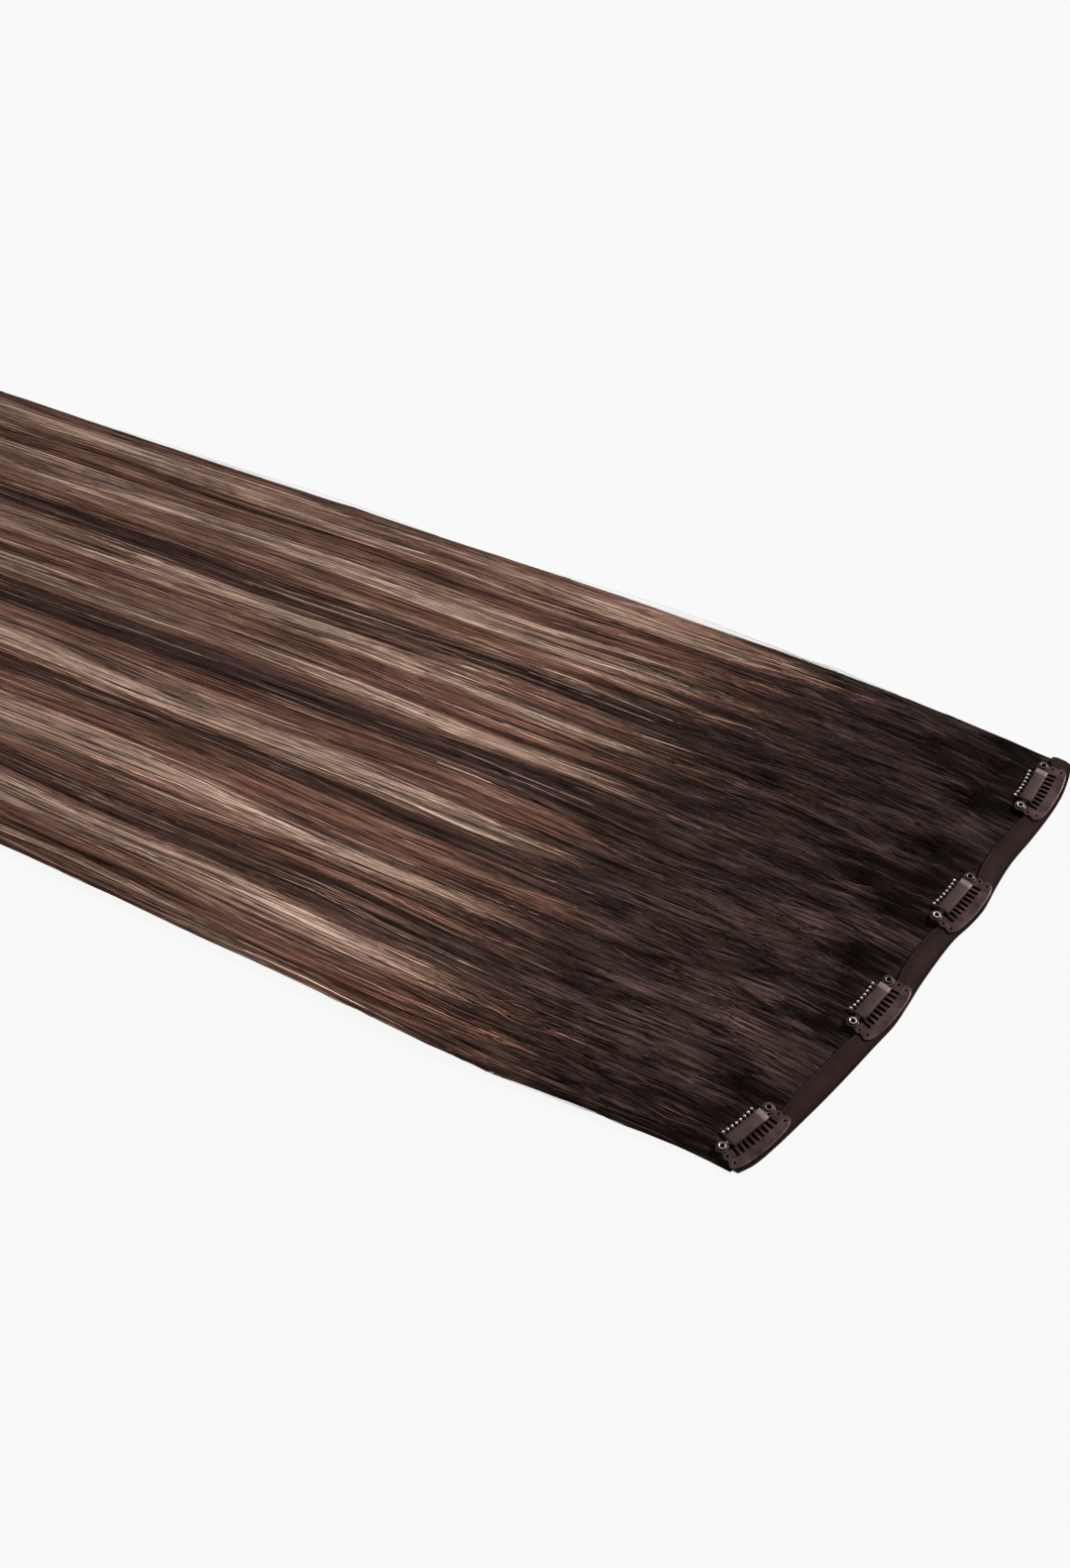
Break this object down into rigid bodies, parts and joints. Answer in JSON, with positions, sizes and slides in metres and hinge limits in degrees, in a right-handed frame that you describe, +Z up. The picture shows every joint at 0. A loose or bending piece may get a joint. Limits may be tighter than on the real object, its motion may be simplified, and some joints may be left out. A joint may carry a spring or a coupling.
{
  "type": "clip in hair extension",
  "caption": "Straight, dark-rooted hair weft on a smooth curved band with snap comb clips, lying flat; worn by clipping the band under the wearer's own hair.",
  "frame": {"origin": "under the middle of the whole piece, on the surface it lies on", "axes": "+X along the hair from its tips to the band, +Y along the band from its near end, +Z up, the side with the clips"},
  "size_m": [0.6518, 0.2328, 0.0085],
  "materials": {
    "hair": "smooth straight fibre, dark brown at the roots, streaked mid brown and beige further down",
    "band": "smooth matte dark brown strip",
    "plate_metal": "satin dark brown enamel",
    "eyelet_metal": "glossy brown, worn bright on the rim",
    "sleeve": "satin brown silicone"
  },
  "bodies": {
    "root": {"hair": "hair", "weft_band": "band", "comb_plate_1": "plate_metal", "spring_bow_1": "plate_metal", "silicone_sleeve_1": "sleeve", "eyelet_1_near": "eyelet_metal", "eyelet_1_far": "eyelet_metal", "comb_plate_2": "plate_metal", "spring_bow_2": "plate_metal", "silicone_sleeve_2": "sleeve", "eyelet_2_near": "eyelet_metal", "eyelet_2_far": "eyelet_metal", "comb_plate_3": "plate_metal", "spring_bow_3": "plate_metal", "silicone_sleeve_3": "sleeve", "eyelet_3_near": "eyelet_metal", "eyelet_3_far": "eyelet_metal", "comb_plate_4": "plate_metal", "spring_bow_4": "plate_metal", "silicone_sleeve_4": "sleeve", "eyelet_4_near": "eyelet_metal", "eyelet_4_far": "eyelet_metal"}
  },
  "joints": []
}
